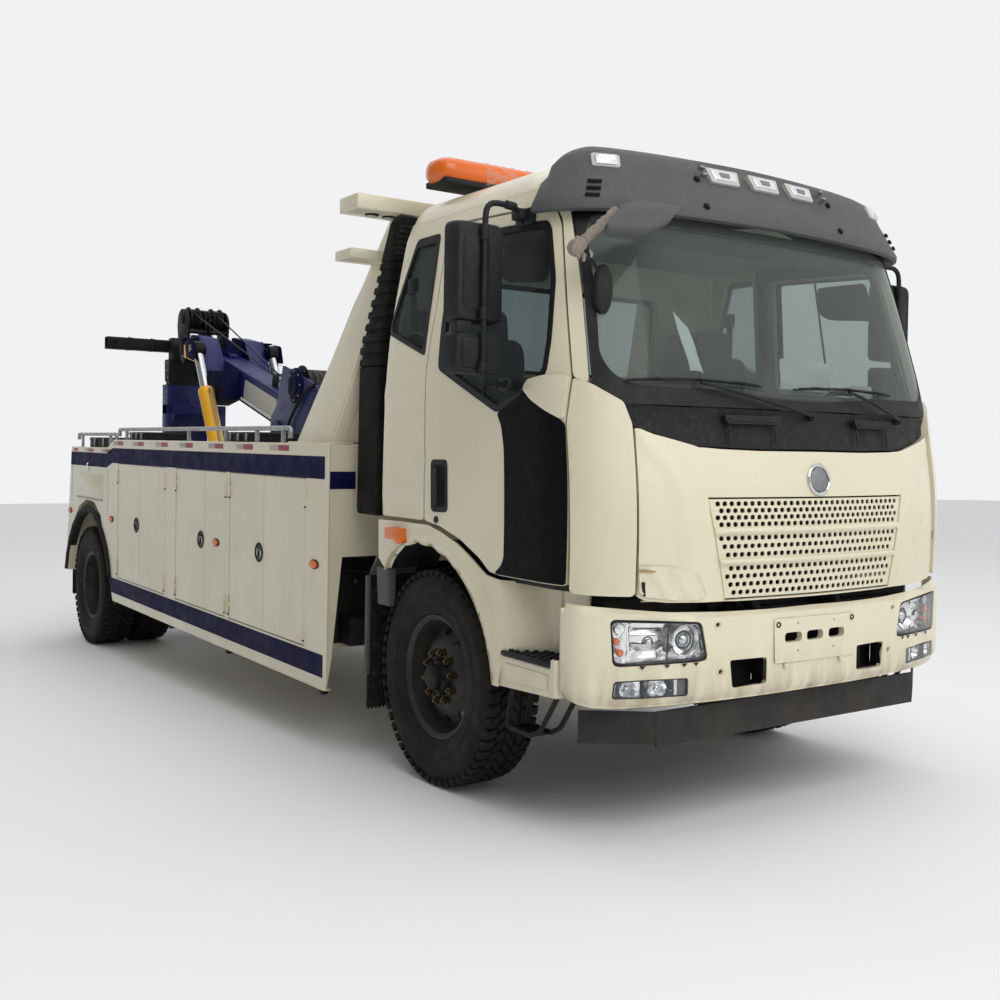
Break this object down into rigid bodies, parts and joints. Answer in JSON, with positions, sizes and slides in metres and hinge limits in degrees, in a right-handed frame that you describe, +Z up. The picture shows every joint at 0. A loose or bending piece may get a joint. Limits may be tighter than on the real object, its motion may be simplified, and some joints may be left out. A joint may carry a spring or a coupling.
{
  "type": "tow truck",
  "caption": "Medium two-axle tow truck with tilting cab, side lockers, gantry, lifting boom with winches and a folded underlift.",
  "frame": {"origin": "centre of the bounding box, on the ground", "axes": "+X forward, +Y to the vehicle's left, +Z up"},
  "size_m": [8.5326, 2.9, 3.1286],
  "materials": {
    "cab_paint": "cream gloss paint, a little road dirt low down",
    "body_paint": "pale beige gloss paint with blue bands",
    "navy_paint": "navy blue gloss paint",
    "yellow_paint": "yellow gloss paint",
    "chassis_black": "matt black chassis paint, dusty",
    "black_steel": "black paint on steel",
    "engine_metal": "dull grey casting",
    "bare_metal": "dull aluminium",
    "chrome": "polished hard chrome",
    "black_plastic": "grained dark grey plastic",
    "dash_plastic": "grey moulded plastic",
    "rubber": "black rubber",
    "tyre": "dusty black tyre rubber",
    "rim_steel": "grey painted steel wheel",
    "glass": "tinted safety glass",
    "lamp_glass": "clear lamp lens",
    "beacon_amber": "orange translucent lens",
    "seat_fabric": "dark woven seat cloth"
  },
  "bodies": {
    "chassis": {"frame": "chassis_black", "front_axle": "chassis_black", "rear_axle": "chassis_black", "leaf_springs": "chassis_black", "engine_and_gearbox": "engine_metal", "fuel_tank": "bare_metal", "battery_box": "black_plastic", "front_bumper": "cab_paint", "lamps": "lamp_glass", "front_fenders": "cab_paint", "mud_flaps": "rubber", "service_body": "body_paint", "gantry": "body_paint", "air_duct": "black_plastic", "winch_frame": "navy_paint", "underlift_column": "navy_paint"},
    "cab": {"cab_shell": "cab_paint", "cab_glass": "glass", "visor": "black_plastic", "light_bar": "beacon_amber", "seats": "seat_fabric", "dashboard": "dash_plastic"},
    "flap": {"front_flap": "cab_paint"},
    "door_left": {"door_left": "cab_paint", "door_glass_left": "glass", "mirror_left": "black_plastic"},
    "knuckle_left": {"knuckle_left": "chassis_black"},
    "front_wheel_left": {"front_tyre_left": "tyre", "front_rim_left": "rim_steel"},
    "rear_wheels_left": {"rear_tyres_left": "tyre", "rear_rims_left": "rim_steel"},
    "locker_1_front_left": {"locker_1_front_left": "body_paint"},
    "locker_1_rear_left": {"locker_1_rear_left": "body_paint"},
    "locker_2_front_left": {"locker_2_front_left": "body_paint"},
    "locker_2_rear_left": {"locker_2_rear_left": "body_paint"},
    "locker_3_front_left": {"locker_3_front_left": "body_paint"},
    "locker_3_rear_left": {"locker_3_rear_left": "body_paint"},
    "door_right": {"door_right": "cab_paint", "door_glass_right": "glass", "mirror_right": "black_plastic"},
    "knuckle_right": {"knuckle_right": "chassis_black"},
    "front_wheel_right": {"front_tyre_right": "tyre", "front_rim_right": "rim_steel"},
    "rear_wheels_right": {"rear_tyres_right": "tyre", "rear_rims_right": "rim_steel"},
    "locker_1_front_right": {"locker_1_front_right": "body_paint"},
    "locker_1_rear_right": {"locker_1_rear_right": "body_paint"},
    "locker_2_front_right": {"locker_2_front_right": "body_paint"},
    "locker_2_rear_right": {"locker_2_rear_right": "body_paint"},
    "locker_3_front_right": {"locker_3_front_right": "body_paint"},
    "locker_3_rear_right": {"locker_3_rear_right": "body_paint"},
    "boom": {"boom_outer": "navy_paint"},
    "boom_extension": {"boom_inner": "navy_paint"},
    "lift_barrels": {"lift_barrels": "yellow_paint"},
    "lift_rods": {"lift_rods": "chrome"},
    "drum_left": {"winch_drum_left": "black_steel"},
    "drum_right": {"winch_drum_right": "black_steel"},
    "underlift": {"underlift_arm": "navy_paint"},
    "underlift_slider": {"underlift_slider": "black_steel"},
    "crossbar": {"crossbar": "black_steel"}
  },
  "joints": [
    {"name": "cab_tilt", "type": "hinge", "parent": "chassis", "child": "cab", "pos_m": [4.13326, 0, 0.86045], "axis": [0, 1, 0], "range_deg": [0, 45]},
    {"name": "flap_lift", "type": "hinge", "parent": "cab", "child": "flap", "pos_m": [4.24854, 0, 1.56818], "axis": [0, -1, 0], "range_deg": [0, 70]},
    {"name": "door_left_hinge", "type": "hinge", "parent": "cab", "child": "door_left", "pos_m": [3.97619, 1.121, 1.46568], "axis": [-0.0314, 0, -0.9995], "range_deg": [0, 70]},
    {"name": "steer_left", "type": "hinge", "parent": "chassis", "child": "knuckle_left", "pos_m": [2.8606, 0.8, 0.512], "axis": [0, 0, 1], "range_deg": [-35, 35]},
    {"name": "front_wheel_left_spin", "type": "hinge", "parent": "knuckle_left", "child": "front_wheel_left", "pos_m": [2.8606, 0.975, 0.512], "axis": [0, 1, 0], "continuous": true},
    {"name": "rear_wheels_left_spin", "type": "hinge", "parent": "chassis", "child": "rear_wheels_left", "pos_m": [-2.9394, 1.08, 0.512], "axis": [0, 1, 0], "continuous": true},
    {"name": "locker_1_front_left_hinge", "type": "hinge", "parent": "chassis", "child": "locker_1_front_left", "pos_m": [1.71118, 1.245, 0.99159], "axis": [-0.0314, 0, -0.9995], "range_deg": [0, 90]},
    {"name": "locker_1_rear_left_hinge", "type": "hinge", "parent": "chassis", "child": "locker_1_rear_left", "pos_m": [0.56674, 1.245, 1.02756], "axis": [0.0314, 0, 0.9995], "range_deg": [0, 90]},
    {"name": "locker_2_front_left_hinge", "type": "hinge", "parent": "chassis", "child": "locker_2_front_left", "pos_m": [0.49678, 1.245, 1.02976], "axis": [-0.0314, 0, -0.9995], "range_deg": [0, 90]},
    {"name": "locker_2_rear_left_hinge", "type": "hinge", "parent": "chassis", "child": "locker_2_rear_left", "pos_m": [-0.47774, 1.245, 1.06038], "axis": [0.0314, 0, 0.9995], "range_deg": [0, 90]},
    {"name": "locker_3_front_left_hinge", "type": "hinge", "parent": "chassis", "child": "locker_3_front_left", "pos_m": [-0.72762, 1.245, 1.06824], "axis": [-0.0314, 0, -0.9995], "range_deg": [0, 90]},
    {"name": "locker_3_rear_left_hinge", "type": "hinge", "parent": "chassis", "child": "locker_3_rear_left", "pos_m": [-1.92702, 1.245, 1.10593], "axis": [0.0314, 0, 0.9995], "range_deg": [0, 90]},
    {"name": "door_right_hinge", "type": "hinge", "parent": "cab", "child": "door_right", "pos_m": [3.97619, -1.121, 1.46568], "axis": [0.0314, 0, 0.9995], "range_deg": [0, 70]},
    {"name": "steer_right", "type": "hinge", "parent": "chassis", "child": "knuckle_right", "pos_m": [2.8606, -0.8, 0.512], "axis": [0, 0, 1], "range_deg": [-35, 35]},
    {"name": "front_wheel_right_spin", "type": "hinge", "parent": "knuckle_right", "child": "front_wheel_right", "pos_m": [2.8606, -0.975, 0.512], "axis": [0, 1, 0], "continuous": true},
    {"name": "rear_wheels_right_spin", "type": "hinge", "parent": "chassis", "child": "rear_wheels_right", "pos_m": [-2.9394, -1.08, 0.512], "axis": [0, 1, 0], "continuous": true},
    {"name": "locker_1_front_right_hinge", "type": "hinge", "parent": "chassis", "child": "locker_1_front_right", "pos_m": [1.71118, -1.245, 0.99159], "axis": [0.0314, 0, 0.9995], "range_deg": [0, 90]},
    {"name": "locker_1_rear_right_hinge", "type": "hinge", "parent": "chassis", "child": "locker_1_rear_right", "pos_m": [0.56674, -1.245, 1.02756], "axis": [-0.0314, 0, -0.9995], "range_deg": [0, 90]},
    {"name": "locker_2_front_right_hinge", "type": "hinge", "parent": "chassis", "child": "locker_2_front_right", "pos_m": [0.49678, -1.245, 1.02976], "axis": [0.0314, 0, 0.9995], "range_deg": [0, 90]},
    {"name": "locker_2_rear_right_hinge", "type": "hinge", "parent": "chassis", "child": "locker_2_rear_right", "pos_m": [-0.47774, -1.245, 1.06038], "axis": [-0.0314, 0, -0.9995], "range_deg": [0, 90]},
    {"name": "locker_3_front_right_hinge", "type": "hinge", "parent": "chassis", "child": "locker_3_front_right", "pos_m": [-0.72762, -1.245, 1.06824], "axis": [0.0314, 0, 0.9995], "range_deg": [0, 90]},
    {"name": "locker_3_rear_right_hinge", "type": "hinge", "parent": "chassis", "child": "locker_3_rear_right", "pos_m": [-1.92702, -1.245, 1.10593], "axis": [-0.0314, 0, -0.9995], "range_deg": [0, 90]},
    {"name": "boom_lift", "type": "hinge", "parent": "chassis", "child": "boom", "pos_m": [-0.63456, 0, 1.80067], "axis": [0, 1, 0], "range_deg": [0, 22]},
    {"name": "boom_extend", "type": "slide", "parent": "boom", "child": "boom_extension", "axis": [-0.9573, 0, 0.289], "range_m": [-0.01, 1.01]},
    {"name": "lift_barrel_swing", "type": "hinge", "parent": "chassis", "child": "lift_barrels", "pos_m": [-1.90154, 0, 1.28021], "axis": [0, 1, 0], "range_deg": [-2, 22.56]},
    {"name": "lift_rod_stroke", "type": "slide", "parent": "lift_barrels", "child": "lift_rods", "axis": [-0.4971, 0, 0.8677], "range_m": [-0.01, 0.5327]},
    {"name": "drum_left_turn", "type": "hinge", "parent": "chassis", "child": "drum_left", "pos_m": [-0.27437, 0, 2.11952], "axis": [0, 1, 0], "continuous": true},
    {"name": "drum_right_turn", "type": "hinge", "parent": "chassis", "child": "drum_right", "pos_m": [-0.27437, 0, 2.11952], "axis": [0, 1, 0], "continuous": true},
    {"name": "underlift_fold", "type": "hinge", "parent": "chassis", "child": "underlift", "pos_m": [-4.09334, 0, 0.93889], "axis": [0, -1, 0], "range_deg": [0, 95]},
    {"name": "underlift_extend", "type": "slide", "parent": "underlift", "child": "underlift_slider", "axis": [0.0314, 0, 0.9995], "range_m": [-0.01, 0.91]},
    {"name": "crossbar_swivel", "type": "hinge", "parent": "underlift_slider", "child": "crossbar", "pos_m": [-4.1954, 0, 2.78501], "axis": [0.9995, 0, -0.0314], "range_deg": [-30, 30]}
  ],
  "couplings": [
    {"joint": "steer_right", "follows": "steer_left", "ratio": 1},
    {"joint": "lift_barrel_swing", "follows": "boom_lift", "ratio": 0.9802},
    {"joint": "lift_rod_stroke", "follows": "boom_lift", "m_per_rad": 1.3614},
    {"joint": "boom_extend", "follows": "boom_lift", "m_per_rad": 2.6044},
    {"joint": "underlift_extend", "follows": "underlift_fold", "m_per_rad": 0.5428}
  ]
}
